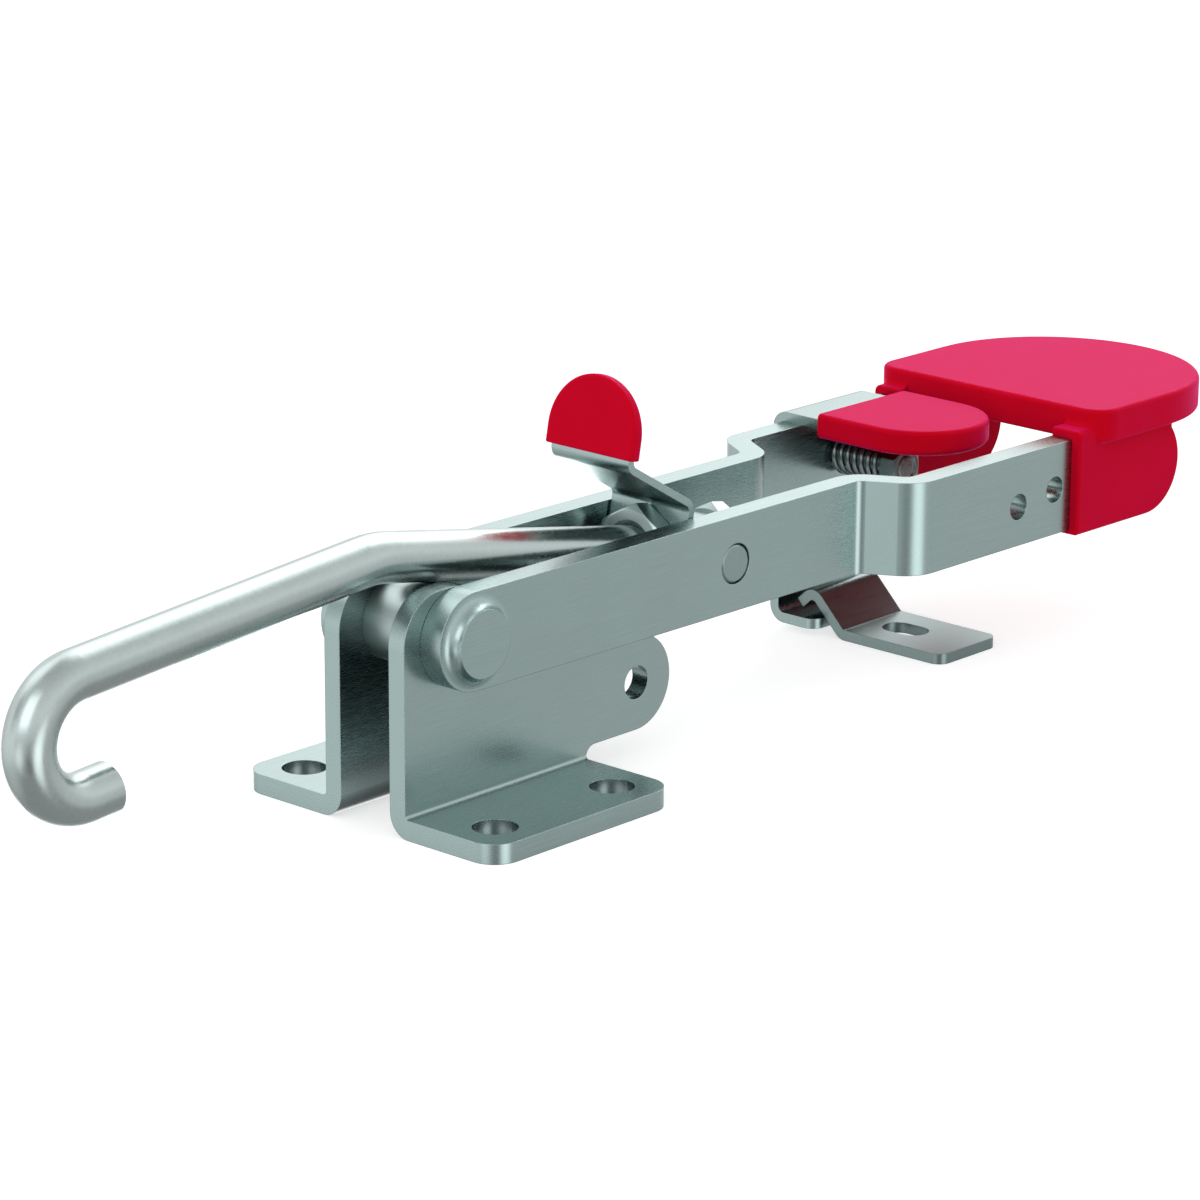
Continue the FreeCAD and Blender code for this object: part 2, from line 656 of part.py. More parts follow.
def thumb_path():
    """Middle line of the thumb bracket's sheet in side view: plate, ramp and paddle."""
    mid_s = THUMB_S + THUMB_T / 2.0
    fall = math.radians(RAMP_SLOPE)
    lean = math.radians(PADDLE_LEAN)
    low = along_shank(mid_s, -THUMB_BELOW)
    bend = along_shank(mid_s, THUMB_RISE)
    top = bend + V(-math.cos(fall), 0, math.sin(fall)) * RAMP_L
    end = top + V(math.sin(lean), 0, math.cos(lean)) * (CAP_RISE + CAP_STRAIGHT + THUMB_W / 2.0)
    return [low, bend, top, end]


def on_paddle(shape):
    """Place a piece drawn upright from the cap's lower edge, at the paddle's middle."""
    placed = shape.copy()
    placed.translate(V(0, 0, CAP_RISE))
    placed.rotate(ORIGIN, Y_AXIS, PADDLE_LEAN)
    placed.translate(thumb_path()[2])
    return placed


def arch(half_width, low, straight, radius):
    """A doorway shape in the YZ plane, with a round top."""
    top = low + straight
    a = V(0, -half_width, low)
    b = V(0, half_width, low)
    edges = [
        Part.LineSegment(a, b).toShape(),
        Part.LineSegment(b, V(0, half_width, top)).toShape(),
        Part.Arc(V(0, half_width, top), V(0, 0, top + radius), V(0, -half_width, top)).toShape(),
        Part.LineSegment(V(0, -half_width, top), a).toShape(),
    ]
    return Part.Face(Part.Wire(edges))


def thumb_bracket():
    """A folded strip: plate on the rod, ramp, and a paddle with a round end."""
    half = THUMB_W / 2.0
    path = thumb_path()
    low = path[0]
    line = [(corner.x, corner.z) for corner in path]
    section = fold_face("XZ", line, THUMB_T, [THUMB_BEND_R, THUMB_BEND_R])
    body = prism(section, Y_AXIS, -half, half)
    above = Part.makeBox(3.0 * THUMB_T, THUMB_W + 2.0, half + 1.0,
                         V(-1.5 * THUMB_T, -half - 1.0, CAP_STRAIGHT))
    rounded = prism(arch(half, 0.0, CAP_STRAIGHT, half), X_AXIS, -1.5 * THUMB_T, 1.5 * THUMB_T)
    body = body.cut(on_paddle(above.cut(rounded)))
    hole = rod(ROD_R + SEAT_FIT, V(-THUMB_T, 0, 0), X_AXIS, 3.0 * THUMB_T)
    body = one_solid(body.cut(on_shank(hole, THUMB_S)))

    def plate_corner(edge, mid):
        return (mid - V(low.x, mid.y, low.z)).Length < 0.1 and abs(abs(mid.y) - half) < 0.01

    return round_edges(body, THUMB_CORNER_R, plate_corner)


def thumb_cap():
    """A moulded cap over the paddle, open below."""
    half = THUMB_W / 2.0 + CAP_SIDE_WALL
    front = -THUMB_T / 2.0 - CAP_FRONT_WALL
    back = THUMB_T / 2.0 + CAP_REAR_WALL
    body = prism(arch(half, 0.0, CAP_STRAIGHT, half), X_AXIS, front, back)
    body = round_edges(body, CAP_REAR_R, lambda edge, mid: mid.x > back - 0.01 and mid.z > 0.01)
    body = round_edges(body, CAP_FRONT_R, lambda edge, mid: mid.x < front + 0.01 and mid.z > 0.01)
    body = round_edges(body, CAP_LOW_R, lambda edge, mid: mid.z < 0.01)
    fit = THUMB_W / 2.0 + CAP_FIT
    pocket = prism(arch(fit, -1.0, CAP_STRAIGHT + 1.0, fit), X_AXIS,
                   -THUMB_T / 2.0 - CAP_FIT, THUMB_T / 2.0 + CAP_FIT)
    return on_paddle(one_solid(body.cut(pocket)))


# Lock lever and cap, drawn level about the pivot

WEB_IN = REAR_OUT + REST_GAP
WEB_OUT = WEB_IN + LEVER_T
TAB_R = LEVER_W / 2.0
FLANGE_END = WEB_OUT - LEVER_FLANGE
LEVER_DROP = (PIVOT_Z - LEVER_MID_X * math.sin(TILT) - LEVER_REST) / math.cos(TILT) + BAR_R


def tab_plan(half_width, straight_y):
    """The plan of the lever's tab: straight sides and a round end towards -Y."""
    centre = V(LEVER_MID_X, LEVER_REACH, 0)
    a = V(LEVER_MID_X - half_width, straight_y, 0)
    b = V(LEVER_MID_X + half_width, straight_y, 0)
    c = V(LEVER_MID_X + half_width, LEVER_REACH, 0)
    d = V(LEVER_MID_X - half_width, LEVER_REACH, 0)
    edges = [
        Part.LineSegment(a, b).toShape(),
        Part.LineSegment(b, c).toShape(),
        Part.Arc(c, centre - V(0, half_width, 0), d).toShape(),
        Part.LineSegment(d, a).toShape(),
    ]
    return Part.Face(Part.Wire(edges))


def slot_prism(width, length, x, y0, y1, z_mid):
    """An upright slot through sheet that lies across Y."""
    r = width / 2.0
    z_top = z_mid + length / 2.0 - r
    z_low = z_mid - length / 2.0 + r
    body = cross_rod(r, x, z_top, y0, y1)
    body = body.fuse(cross_rod(r, x, z_low, y0, y1))
    body = body.fuse(Part.makeBox(width, y1 - y0, z_top - z_low, V(x - r, y0, z_low)))
    return body


def lock_slot():
    """The web's slot, long enough for the bolt while the lever rocks on the bar's edge."""
    press = math.radians(LEVER_TILT)
    drop = LOCK_HOLE_Z - BAR_R
    web_y = WEB_IN + LEVER_T / 2.0 - REAR_IN
    along = (web_y - drop * math.sin(press)) / math.cos(press)
    moved = -along * math.sin(press) + drop * math.cos(press)
    lean = LEVER_T / 2.0 * math.tan(press)
    clear = BOLT_D / 2.0 + REST_GAP
    top = drop + clear
    low = moved - BOLT_D / 2.0 / math.cos(press) - lean - REST_GAP
    middle = BAR_R + (top + low) / 2.0
    return slot_prism(2.0 * clear, top - low, LOCK_HOLE_X, WEB_IN - 1.0, WEB_OUT + 1.0, middle)


def lock_lever():
    """A folded strip: tab over the bar, web down its outer face, and the hooked flange."""
    half = LEVER_T / 2.0
    web_y = WEB_IN + half
    low_z = BAR_R - LEVER_DROP + half
    tab_end = LEVER_REACH - TAB_R
    path = [(FLANGE_END, low_z), (web_y, low_z), (web_y, BAR_R + half), (tab_end, BAR_R + half)]
    section = fold_face("YZ", path, LEVER_T, [LEVER_BEND_R, REST_GAP],
                        [LEVER_BEND_R + LEVER_T, LEVER_TOP_R])
    body = prism(section, X_AXIS, LEVER_MID_X - TAB_R, LEVER_MID_X + TAB_R)
    beyond = Part.makeBox(LEVER_W + 2.0, TAB_R + 1.0, 3.0 * LEVER_T,
                          V(LEVER_MID_X - TAB_R - 1.0, tab_end - 1.0, BAR_R - LEVER_T))
    rounded = prism(tab_plan(TAB_R, LEVER_REACH + 5.0), Z_AXIS,
                    BAR_R - LEVER_T, BAR_R + 2.0 * LEVER_T)
    body = body.cut(beyond.cut(rounded))
    body = one_solid(body.cut(lock_slot()))

    def flange_corner(edge, mid):
        upright = abs(edge.tangentAt(edge.FirstParameter).z) > 0.99
        return upright and abs(mid.y - FLANGE_END) < 0.01

    return round_edges(body, LEVER_CORNER_R, flange_corner)


def lock_lever_cap():
    """A moulded cap over the tab, open at its straight edge, with room for the nut below."""
    low = BAR_R - LEVER_CAP_LOW
    high = BAR_R + LEVER_T + LEVER_CAP_HIGH
    body = prism(tab_plan(TAB_R + LEVER_CAP_SIDE, LEVER_CAP_EDGE), Z_AXIS, low, high)
    edge_y = LEVER_CAP_EDGE - 0.01
    body = round_edges(body, LEVER_CAP_TOP_R, lambda edge, mid: mid.z > high - 0.01 and mid.y < edge_y)
    body = round_edges(body, LEVER_CAP_LOW_R, lambda edge, mid: mid.z < low + 0.01 and mid.y < edge_y)
    pocket = prism(tab_plan(TAB_R + CAP_FIT, LEVER_CAP_EDGE + 1.0), Z_AXIS,
                   BAR_R - CAP_FIT, BAR_R + LEVER_T + CAP_FIT)
    half = LOCK_NUT_AF / math.sqrt(3.0) + 1.0
    room = Part.makeBox(2.0 * half, LEVER_CAP_EDGE + 1.0, LEVER_CAP_LOW,
                        V(LOCK_HOLE_X - half, 0.0, low + NUT_ROOM - LEVER_CAP_LOW))
    return one_solid(body.cut([pocket, room]))


# Lock bolt, nut and spring, drawn level about the pivot

def along_lock_axis(shape, y, towards_plus):
    """Turn a piece drawn along +X to the lock bolt's axis, starting at y."""
    placed = shape.copy()
    placed.rotate(ORIGIN, Z_AXIS, 90.0 if towards_plus else -90.0)
    placed.translate(V(LOCK_HOLE_X, y, LOCK_HOLE_Z))
    return placed


def lock_bolt():
    end_y = LOCK_NUT_FACE - LOCK_NUT_T
    head_y = WEB_OUT + FACE_GAP
    head = along_lock_axis(hex_prism(BOLT_HEAD_AF, BOLT_HEAD_H, (False, True)), head_y, True)
    shank = cross_rod(BOLT_D / 2.0, LOCK_HOLE_X, LOCK_HOLE_Z, end_y, head_y + 0.5)
    tip = round_edges(shank, 0.5, lambda edge, mid: abs(mid.y - end_y) < 0.01)
    return one_solid(head.fuse(tip))


def lock_nut():
    body = nut(LOCK_NUT_AF, LOCK_NUT_T, BOLT_D / 2.0 + SEAT_FIT)
    return along_lock_axis(body, LOCK_NUT_FACE - LOCK_NUT_T, True)


def lock_spring():
    """A coil spring between the nut and the far bar."""
    wire_r = SPRING_WIRE / 2.0
    coil_r = SPRING_D / 2.0 - wire_r
    length = REAR_IN - LOCK_NUT_FACE - SPRING_WIRE - 2.0 * SEAT_FIT
    helix = Part.makeHelix(length / SPRING_TURNS, length, coil_r)
    ring = Part.Wire(Part.makeCircle(wire_r, V(coil_r, 0, 0), Y_AXIS))
    body = Part.Solid(Part.Wire(helix).makePipeShell([ring], True, True))
    body.rotate(ORIGIN, X_AXIS, -90.0)
    body.translate(V(LOCK_HOLE_X, LOCK_NUT_FACE + wire_r + SEAT_FIT, LOCK_HOLE_Z))
    return body


# Keeper plate, set out from the lever's flange

KEEPER_MID_X = PIVOT_X + LEVER_MID_X - KEEPER_AHEAD
KEEPER_BEND_Y = FLANGE_END - KEEPER_BEFORE
KEEPER_START_Y = KEEPER_BEND_Y - KEEPER_FOOT
KEEPER_SLOT_Y = KEEPER_BEND_Y - KEEPER_SLOT_BACK


def keeper_plate():
    """A folded strip: slotted foot, slope, and a lip that the lock lever hooks under."""
    half = KEEPER_T / 2.0
    slope = math.radians(KEEPER_SLOPE)
    fall = math.radians(KEEPER_LIP_SLOPE)
    peak = (KEEPER_BEND_Y + KEEPER_PEAK / math.tan(slope), half + KEEPER_PEAK)
    end = (peak[0] + KEEPER_LIP * math.cos(fall), peak[1] - KEEPER_LIP * math.sin(fall))
    path = [(KEEPER_START_Y, half), (KEEPER_BEND_Y, half), peak, end]
    section = fold_face("YZ", path, KEEPER_T, [KEEPER_BEND_R, KEEPER_BEND_R])
    low_x = KEEPER_MID_X - KEEPER_W / 2.0
    body = prism(section, X_AXIS, low_x, low_x + KEEPER_W)

    def foot_corner(edge, mid):
        upright = abs(edge.tangentAt(edge.FirstParameter).z) > 0.99
        return upright and abs(mid.y - KEEPER_START_Y) < 0.01

    body = round_edges(body, KEEPER_CORNER_R, foot_corner)
    r = KEEPER_SLOT_W / 2.0
    reach = KEEPER_SLOT_L / 2.0 - r
    for side in (-1.0, 1.0):
        base = V(KEEPER_MID_X, KEEPER_SLOT_Y + side * reach, -1.0)
        body = body.cut(rod(r, base, Z_AXIS, KEEPER_T + 2.0))
    slot = Part.makeBox(KEEPER_SLOT_W, 2.0 * reach, KEEPER_T + 2.0,
                        V(KEEPER_MID_X - r, KEEPER_SLOT_Y - reach, -1.0))
    return one_solid(body.cut(slot))


def build():
    """Every piece of the latch, closed and locked, by its node's name."""
    bracket = base_bracket()
    rod_nut = nut(NUT_AF, NUT_T, ROD_R + SEAT_FIT)
    pieces = {
        "base_bracket_far": bracket,
        "base_bracket_near": mirrored(bracket),
        "pivot_spacer": pivot_spacer(),
        "pivot_pin": pivot_pin(),
        "handle_bar_far": on_handle(handle_bar(LOCK_HOLE_Z)),
        "handle_bar_near": on_handle(mirrored(handle_bar(-LOCK_HOLE_Z))),
        "grip": on_handle(grip()),
        "trunnion": trunnion(),
        "j_hook": j_hook(),
        "front_nut": on_shank(rod_nut, FRONT_NUT_S),
        "rear_nut": on_shank(rod_nut, REAR_NUT_S),
        "thumb_bracket": thumb_bracket(),
        "thumb_cap": thumb_cap(),
        "lock_lever": on_handle(lock_lever()),
        "lock_lever_cap": on_handle(lock_lever_cap()),
        "lock_bolt": on_handle(lock_bolt()),
        "lock_nut": on_handle(lock_nut()),
        "lock_spring": on_handle(lock_spring()),
        "keeper_plate": keeper_plate(),
    }
    return pieces


os.makedirs("parts", exist_ok=True)
for name, shape in build().items():
    shape.exportStep("parts/" + name + ".step")
    print(name, shape.ShapeType, shape.isValid(), len(shape.Solids), round(shape.Volume, 2))
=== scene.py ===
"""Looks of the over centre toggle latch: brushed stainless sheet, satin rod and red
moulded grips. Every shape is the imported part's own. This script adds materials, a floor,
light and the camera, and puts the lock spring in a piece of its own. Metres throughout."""
import math

import bpy
from mathutils import Matrix, Vector


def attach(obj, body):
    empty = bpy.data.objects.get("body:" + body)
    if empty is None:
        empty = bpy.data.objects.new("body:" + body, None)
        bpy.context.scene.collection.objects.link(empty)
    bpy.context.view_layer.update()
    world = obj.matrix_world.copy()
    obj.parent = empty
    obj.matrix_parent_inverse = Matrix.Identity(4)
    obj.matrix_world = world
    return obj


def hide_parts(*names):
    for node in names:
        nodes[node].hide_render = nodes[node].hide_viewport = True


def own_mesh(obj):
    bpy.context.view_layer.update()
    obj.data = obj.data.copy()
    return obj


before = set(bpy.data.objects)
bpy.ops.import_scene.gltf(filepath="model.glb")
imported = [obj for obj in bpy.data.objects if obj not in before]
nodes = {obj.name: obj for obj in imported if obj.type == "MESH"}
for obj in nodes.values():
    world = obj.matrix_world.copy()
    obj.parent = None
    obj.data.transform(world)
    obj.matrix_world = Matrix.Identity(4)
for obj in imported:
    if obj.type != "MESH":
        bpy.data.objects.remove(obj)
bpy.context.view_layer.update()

scene = bpy.context.scene
scene.view_settings.view_transform = "Standard"

WHITE = (1.0, 1.0, 1.0)


# Camera, fitted to the photograph's edges

CAMERA_AZIMUTH = -47.4684
CAMERA_ELEVATION = 16.7228
CAMERA_ROLL = 0.1884
CAMERA_PLACE = (-0.65791, -0.63987, 0.31447)
CAMERA_LENS = 153.9075
SENSOR_WIDTH = 36.0
CAMERA_RANGE = (0.01, 50.0)


def set_camera():
    azimuth = math.radians(CAMERA_AZIMUTH)
    elevation = math.radians(CAMERA_ELEVATION)
    roll = math.radians(CAMERA_ROLL)
    forward = Vector((-math.sin(azimuth) * math.cos(elevation),
                      math.cos(azimuth) * math.cos(elevation),
                      -math.sin(elevation)))
    level = Vector((math.cos(azimuth), math.sin(azimuth), 0.0))
    above = level.cross(forward)
    right = level * math.cos(roll) + above * math.sin(roll)
    up = above * math.cos(roll) - level * math.sin(roll)
    data = bpy.data.cameras.new("camera")
    data.sensor_width = SENSOR_WIDTH
    data.sensor_fit = "HORIZONTAL"
    data.lens = CAMERA_LENS
    data.clip_start, data.clip_end = CAMERA_RANGE
    camera = bpy.data.objects.new("camera", data)
    scene.collection.objects.link(camera)
    turn = Matrix((right, up, -forward)).transposed().to_4x4()
    camera.matrix_world = Matrix.Translation(CAMERA_PLACE) @ turn
    scene.camera = camera


set_camera()


# Material building blocks

def new_material(name):
    material = bpy.data.materials.new(name)
    material.use_nodes = True
    tree = material.node_tree
    tree.nodes.clear()
    output = tree.nodes.new("ShaderNodeOutputMaterial")
    shader = tree.nodes.new("ShaderNodeBsdfPrincipled")
    tree.links.new(shader.outputs["BSDF"], output.inputs["Surface"])
    return material, tree, shader


def set_inputs(shader, values):
    for name, value in values.items():
        shader.inputs[name].default_value = value


def object_points(tree, stretch):
    """The object's own points, scaled per axis: a low factor draws a pattern out."""
    coords = tree.nodes.new("ShaderNodeTexCoord")
    mapping = tree.nodes.new("ShaderNodeMapping")
    mapping.inputs["Scale"].default_value = stretch
    tree.links.new(coords.outputs["Object"], mapping.inputs["Vector"])
    return mapping.outputs["Vector"]


def noise(tree, stretch, detail, rough):
    made = tree.nodes.new("ShaderNodeTexNoise")
    set_inputs(made, {"Scale": 1.0, "Detail": detail, "Roughness": rough})
    tree.links.new(object_points(tree, stretch), made.inputs["Vector"])
    return made.outputs["Fac"]


def ramp(tree, factor, stops):
    made = tree.nodes.new("ShaderNodeValToRGB")
    tree.links.new(factor, made.inputs["Fac"])
    elements = made.color_ramp.elements
    while len(elements) < len(stops):
        elements.new(0.5)
    for element, (place, colour) in zip(elements, stops):
        element.position = place
        element.color = (*colour, 1.0)
    return made.outputs["Color"]


def span(tree, factor, low, high, at=(0.0, 1.0)):
    made = tree.nodes.new("ShaderNodeMapRange")
    set_inputs(made, {"From Min": at[0], "From Max": at[1], "To Min": low, "To Max": high})
    tree.links.new(factor, made.inputs["Value"])
    return made.outputs["Result"]


def multiply(tree, a, b):
    made = tree.nodes.new("ShaderNodeMix")
    made.data_type = "RGBA"
    made.blend_type = "MULTIPLY"
    made.inputs["Factor"].default_value = 1.0
    tree.links.new(a, made.inputs["A"])
    tree.links.new(b, made.inputs["B"])
    return made.outputs["Result"]


def bump(tree, shader, height, strength, distance, first=None):
    made = tree.nodes.new("ShaderNodeBump")
    set_inputs(made, {"Strength": strength, "Distance": distance})
    tree.links.new(height, made.inputs["Height"])
    if first is not None:
        tree.links.new(first, made.inputs["Normal"])
    tree.links.new(made.outputs["Normal"], shader.inputs["Normal"])


SHADE_RAYS = 12


def corner_shade(tree, colour, reach, darkest, low, high):
    """The colour, darkened in holes and under overhangs: fully where the open share of the
    sky within reach is low, not at all where it is high."""
    open_sky = tree.nodes.new("ShaderNodeAmbientOcclusion")
    open_sky.samples = SHADE_RAYS
    open_sky.inputs["Distance"].default_value = reach
    shade = ramp(tree, open_sky.outputs["AO"], [(low, darkest), (high, WHITE)])
    return multiply(tree, colour, shade)


# Steel

SHEET = (0.33, 0.43, 0.42)
# The lock lever's and trunnion's steel: the same sheet colour painted darker, as painted
# shade.
LEVER_SHADED_SHEET = (0.28, 0.365, 0.355)
# The keeper plate's steel: the same sheet colour painted darker, as painted shade.
KEEPER_SHADED_SHEET = (0.19, 0.25, 0.245)
ROD = (0.43, 0.50, 0.49)
TURNED = (0.40, 0.48, 0.47)
DARK = (0.26, 0.30, 0.30)

ACROSS, ALONG = 9000.0, 90.0    # how fine the brush lines are across and along them
ALONG_X = (ALONG, ACROSS, ACROSS)
ALONG_Y = (ACROSS, ALONG, ACROSS)
ALONG_Z = (ACROSS, ACROSS, ALONG)
EVEN_ROD = (900.0, 900.0, 900.0)
EVEN_DARK = (800.0, 800.0, 800.0)
BLOTCHES = (60.0, 60.0, 60.0)

ROUGHNESS_SWING = 0.04
LINE_HEIGHT = 0.0001
EDGE_ROUND = 0.00025
EDGE_RAYS = 4
CORNER_REACH = 0.020
CORNER_DARKEST = (0.15, 0.15, 0.16)
CORNERS = (0.10, 0.52)          # open share of the sky: darkest at, clear from


def brushed_steel(name, base, stretch, rough, grain=0.05, lines_deep=0.015, corners=None):
    """Stainless steel with fine lines along one direction, faint blotches, worn edges."""
    material, tree, shader = new_material(name)
    lines = noise(tree, stretch, 3.0, 0.6)
    cloud = noise(tree, BLOTCHES, 3.0, 0.55)
    low = tuple(c * (1.0 - grain) for c in base)
    high = tuple(c * (1.0 + grain) for c in base)
    line_colour = ramp(tree, lines, [(0.3, low), (0.7, high)])
    cloud_colour = ramp(tree, cloud, [(0.25, (0.95, 0.95, 0.95)), (0.75, WHITE)])
    colour = multiply(tree, line_colour, cloud_colour)
    if corners:
        colour = corner_shade(tree, colour, CORNER_REACH, CORNER_DARKEST, *corners)
    tree.links.new(colour, shader.inputs["Base Color"])
    shader.inputs["Metallic"].default_value = 1.0
    roughness = span(tree, lines, rough - ROUGHNESS_SWING, rough + ROUGHNESS_SWING,
                     at=(0.25, 0.75))
    tree.links.new(roughness, shader.inputs["Roughness"])
    bevel = tree.nodes.new("ShaderNodeBevel")
    bevel.samples = EDGE_RAYS
    bevel.inputs["Radius"].default_value = EDGE_ROUND
    bump(tree, shader, lines, lines_deep, LINE_HEIGHT, bevel.outputs["Normal"])
    return material


sheet_x = brushed_steel("stainless_sheet_x", SHEET, ALONG_X, 0.27, grain=0.07)
# Lock lever and trunnion: the same sheet steel brushed upright, painted darker as painted
# shade.
shaded_sheet_z = brushed_steel("stainless_sheet_painted_shade_z", LEVER_SHADED_SHEET, ALONG_Z, 0.27, grain=0.07)
sheet_base = brushed_steel("stainless_sheet_base", SHEET, ALONG_X, 0.27, grain=0.07,
                           corners=CORNERS)
# Keeper plate: a darker copy of the same sheet steel, as painted shade, with painted shade in
# its corners too.
keeper_sheet_shaded = brushed_steel("stainless_keeper_painted_shade", KEEPER_SHADED_SHEET, ALONG_X, 0.30, grain=0.07,
                          corners=CORNERS)
satin = brushed_steel("satin_rod", ROD, EVEN_ROD, 0.25, grain=0.03, lines_deep=0.02)
turned = brushed_steel("turned_steel", TURNED, ALONG_Y, 0.34)
dark_steel = brushed_steel("dark_steel", DARK, EVEN_DARK, 0.30, grain=0.03)


# Red vinyl

RED_LOW = (0.60, 0.0020, 0.011)
RED_HIGH = (0.64, 0.0025, 0.013)
RED_CLOUDS = (90.0, 90.0, 90.0)
RED_GRAIN = (2600.0, 2600.0, 2600.0)
RED_SHADE_REACH = 0.040
RED_SHADE_DARKEST = (0.12, 0.6, 0.6)
RED_CORNERS = (0.18, 0.55)
RED_ROUGHNESS = (0.30, 0.38)
RED_GRAIN_STRENGTH = 0.05
RED_GRAIN_HEIGHT = 0.00006


def red_plastic():
    """Dipped vinyl: even red, faint mottling, and a pink sheen where it is seen at a slant."""
    material, tree, shader = new_material("red_vinyl")
    cloud = noise(tree, RED_CLOUDS, 3.0, 0.5)
    fine = noise(tree, RED_GRAIN, 2.0, 0.5)
    colour = ramp(tree, cloud, [(0.3, RED_LOW), (0.7, RED_HIGH)])
    colour = corner_shade(tree, colour, RED_SHADE_REACH, RED_SHADE_DARKEST,
                          *RED_CORNERS)
    tree.links.new(colour, shader.inputs["Base Color"])
    tree.links.new(span(tree, cloud, *RED_ROUGHNESS), shader.inputs["Roughness"])
    set_inputs(shader, {
        "IOR": 1.4, "Specular IOR Level": 0.02, "Specular Tint": (1.0, 0.05, 0.5, 1.0),
        "Sheen Weight": 1.0, "Sheen Roughness": 0.45, "Sheen Tint": (1.0, 0.02, 0.30, 1.0)})
    bump(tree, shader, fine, RED_GRAIN_STRENGTH, RED_GRAIN_HEIGHT)
    return material


red = red_plastic()

FINISH = {
    "base_bracket_near": sheet_base, "base_bracket_far": sheet_base,
    "handle_bar_near": sheet_x, "handle_bar_far": sheet_x,
    "thumb_bracket": sheet_x, "lock_lever": shaded_sheet_z, "keeper_plate": keeper_sheet_shaded,
    "j_hook": satin, "pivot_spacer": turned, "pivot_pin": turned, "trunnion": shaded_sheet_z,
    "front_nut": turned, "rear_nut": turned, "lock_bolt": dark_steel, "lock_nut": dark_steel,
    "lock_spring": dark_steel,
    "grip": red, "thumb_cap": red, "lock_lever_cap": red,
}
for name, material in FINISH.items():
    mesh = nodes[name].data
    mesh.materials.clear()
    mesh.materials.append(material)


# The coil spring, as its own piece, carried with the handle

def closing_spring():
    coils = bpy.data.objects.new("lock_spring_coils", nodes["lock_spring"].data.copy())
    scene.collection.objects.link(coils)
    coils.matrix_world = nodes["lock_spring"].matrix_world.copy()
    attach(coils, "handle")
    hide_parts("lock_spring")
    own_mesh(coils)


closing_spring()


# Floor: pale, with the object's shadow, and clear to the rays that metal mirrors

FLOOR_HALF = 6.0
FLOOR_COLOUR = (0.60, 0.60, 0.60, 1.0)
FLOOR_GLOW = 0.66


def add_floor():
    half = FLOOR_HALF
    mesh = bpy.data.meshes.new("floor")
    mesh.from_pydata([(-half, -half, 0), (half, -half, 0), (half, half, 0), (-half, half, 0)],
                     [], [(0, 1, 2, 3)])
    floor = bpy.data.objects.new("floor", mesh)
    scene.collection.objects.link(floor)
    material, tree, shader = new_material("pale_floor")
    output = shader.outputs["BSDF"].links[0].to_node
    set_inputs(shader, {"Base Color": FLOOR_COLOUR, "Roughness": 1.0,
                        "Specular IOR Level": 0.0})
    glow = tree.nodes.new("ShaderNodeEmission")
    rays = tree.nodes.new("ShaderNodeLightPath")
    seen = span(tree, rays.outputs["Is Camera Ray"], 0.0, FLOOR_GLOW)
    tree.links.new(seen, glow.inputs["Strength"])
    both = tree.nodes.new("ShaderNodeAddShader")
    tree.links.new(shader.outputs["BSDF"], both.inputs[0])
    tree.links.new(glow.outputs["Emission"], both.inputs[1])
    clear = tree.nodes.new("ShaderNodeBsdfTransparent")
    choice = tree.nodes.new("ShaderNodeMixShader")
    tree.links.new(rays.outputs["Is Glossy Ray"], choice.inputs["Fac"])
    tree.links.new(both.outputs["Shader"], choice.inputs[1])
    tree.links.new(clear.outputs["BSDF"], choice.inputs[2])
    tree.links.new(choice.outputs["Shader"], output.inputs["Surface"])
    mesh.materials.append(material)


# Studio: a white backdrop, an even room light, and the soft panels that metal mirrors

ROOM_LEVEL = 0.95
ROOM = [(0.5, WHITE), (0.75, (0.90, 0.91, 0.92)), (1.0, (0.60, 0.61, 0.62))]
MIRRORED_LEVEL = 1.20
# Grey by height, from straight below (0) over the horizon (0.5) to straight above (1)
MIRRORED_GREYS = [(0.0, 0.38), (0.27, 0.42), (0.36, 0.68), (0.5, 0.75), (0.64, 0.98),
                  (0.8, 0.85), (1.0, 0.60)]
# Azimuth, elevation and half width in degrees, and how much lighter or darker
PANELS = [
    (137.0, -17.0, 50.0, 0.30),
    (136.0, 21.0, 22.0, -0.40),
    (93.0, 50.0, 30.0, 0.90),
    (-95.0, -17.0, 24.0, 1.20),
    (-173.0, -17.0, 20.0, 0.60),
    (-132.0, -17.0, 20.0, -0.30),
    (20.0, 38.0, 36.0, 1.25),
    (52.0, -34.0, 28.0, 1.90),
]


def calculated(tree, operation, a, b):
    """One sum or product; b is a socket or a number."""
    made = tree.nodes.new("ShaderNodeMath")
    made.operation = operation
    tree.links.new(a, made.inputs[0])
    if isinstance(b, float):
        made.inputs[1].default_value = b
    else:
        tree.links.new(b, made.inputs[1])
    return made.outputs[0]


def panel_light(tree, direction, azimuth, elevation, width, amount):
    """A round patch of the sky that fades smoothly to its rim."""
    a = math.radians(azimuth)
    e = math.radians(elevation)
    toward = tree.nodes.new("ShaderNodeVectorMath")
    toward.operation = "DOT_PRODUCT"
    toward.inputs[1].default_value = (math.cos(a) * math.cos(e), math.sin(a) * math.cos(e),
                                      math.sin(e))
    tree.links.new(direction, toward.inputs[0])
    soft = tree.nodes.new("ShaderNodeMapRange")
    soft.interpolation_type = "SMOOTHSTEP"
    set_inputs(soft, {"From Min": math.cos(math.radians(width)), "From Max": 1.0,
                      "To Max": amount})
    tree.links.new(toward.outputs["Value"], soft.inputs["Value"])
    return soft.outputs["Result"]


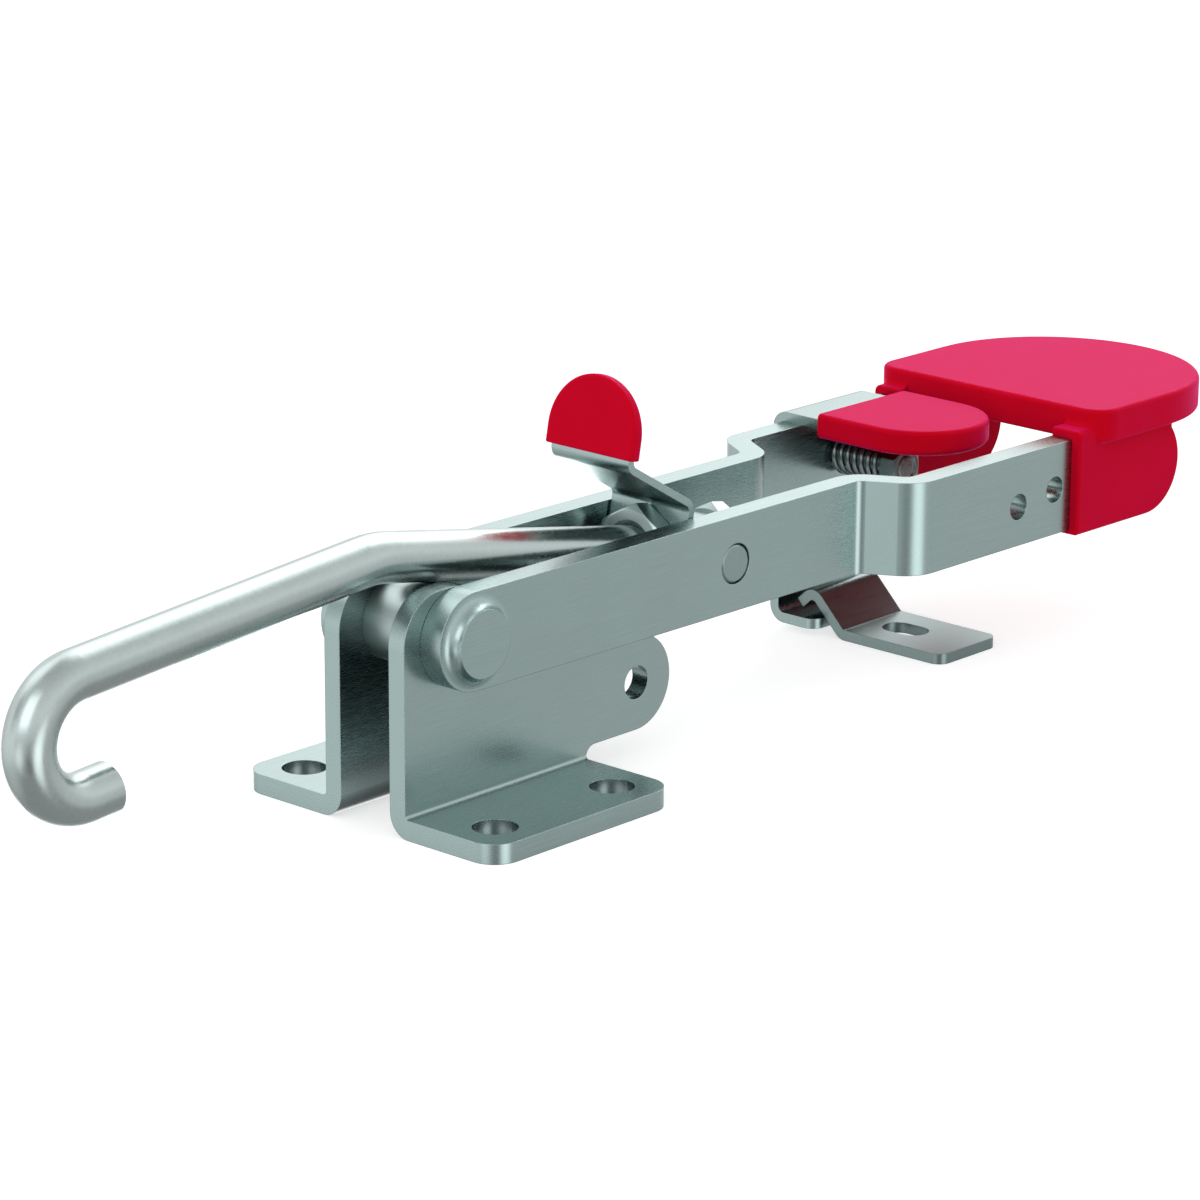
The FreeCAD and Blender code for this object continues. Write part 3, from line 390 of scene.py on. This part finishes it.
def room_light(tree, rays, height):
    """What the camera sees, plain white, and what lights matt surfaces."""
    plain = tree.nodes.new("ShaderNodeBackground")
    white = tree.nodes.new("ShaderNodeMix")
    white.data_type = "RGBA"
    tree.links.new(rays.outputs["Is Camera Ray"], white.inputs["Factor"])
    tree.links.new(ramp(tree, height, ROOM), white.inputs["A"])
    white.inputs["B"].default_value = (*WHITE, 1.0)
    tree.links.new(white.outputs["Result"], plain.inputs["Color"])
    tree.links.new(span(tree, rays.outputs["Is Camera Ray"], ROOM_LEVEL, 1.0),
                   plain.inputs["Strength"])
    return plain


def mirrored_light(tree, direction, height):
    """What metal mirrors: greys by height, with the panels on top."""
    greys = [(place, (grey, grey, grey)) for place, grey in MIRRORED_GREYS]
    level = tree.nodes.new("ShaderNodeRGBToBW")
    tree.links.new(ramp(tree, height, greys), level.inputs["Color"])
    total = level.outputs["Val"]
    for panel in PANELS:
        total = calculated(tree, "ADD", total, panel_light(tree, direction, *panel))
    mirrored = tree.nodes.new("ShaderNodeBackground")
    mirrored.inputs["Color"].default_value = (*WHITE, 1.0)
    tree.links.new(calculated(tree, "MULTIPLY", total, MIRRORED_LEVEL),
                   mirrored.inputs["Strength"])
    return mirrored


def set_world():
    world = bpy.data.worlds.new("studio")
    scene.world = world
    world.use_nodes = True
    tree = world.node_tree
    tree.nodes.clear()
    output = tree.nodes.new("ShaderNodeOutputWorld")
    coords = tree.nodes.new("ShaderNodeTexCoord")
    parts = tree.nodes.new("ShaderNodeSeparateXYZ")
    direction = coords.outputs["Generated"]
    tree.links.new(direction, parts.inputs["Vector"])
    height = span(tree, parts.outputs["Z"], 0.0, 1.0, at=(-1.0, 1.0))
    rays = tree.nodes.new("ShaderNodeLightPath")
    choice = tree.nodes.new("ShaderNodeMixShader")
    tree.links.new(rays.outputs["Is Glossy Ray"], choice.inputs["Fac"])
    tree.links.new(room_light(tree, rays, height).outputs["Background"], choice.inputs[1])
    tree.links.new(mirrored_light(tree, direction, height).outputs["Background"],
                   choice.inputs[2])
    tree.links.new(choice.outputs["Shader"], output.inputs["Surface"])


# Lamps

LAMP_TARGET = (0.05, 0.0, 0.03)
# Name, place, size, watts
LAMPS = [
    ("key", (-1.4, -0.3, 1.0), (1.2, 1.2), 6.0),
    ("back", (1.4, 0.5, 1.35), (1.1, 0.7), 5.5),
]


def area_light(name, place, size, power):
    data = bpy.data.lights.new(name, "AREA")
    data.shape = "RECTANGLE"
    data.size, data.size_y = size
    data.energy = power
    light = bpy.data.objects.new(name, data)
    scene.collection.objects.link(light)
    light.location = place
    toward = Vector(LAMP_TARGET) - Vector(place)
    light.rotation_euler = toward.to_track_quat("-Z", "Y").to_euler()


add_floor()
set_world()
for lamp in LAMPS:
    area_light(*lamp)
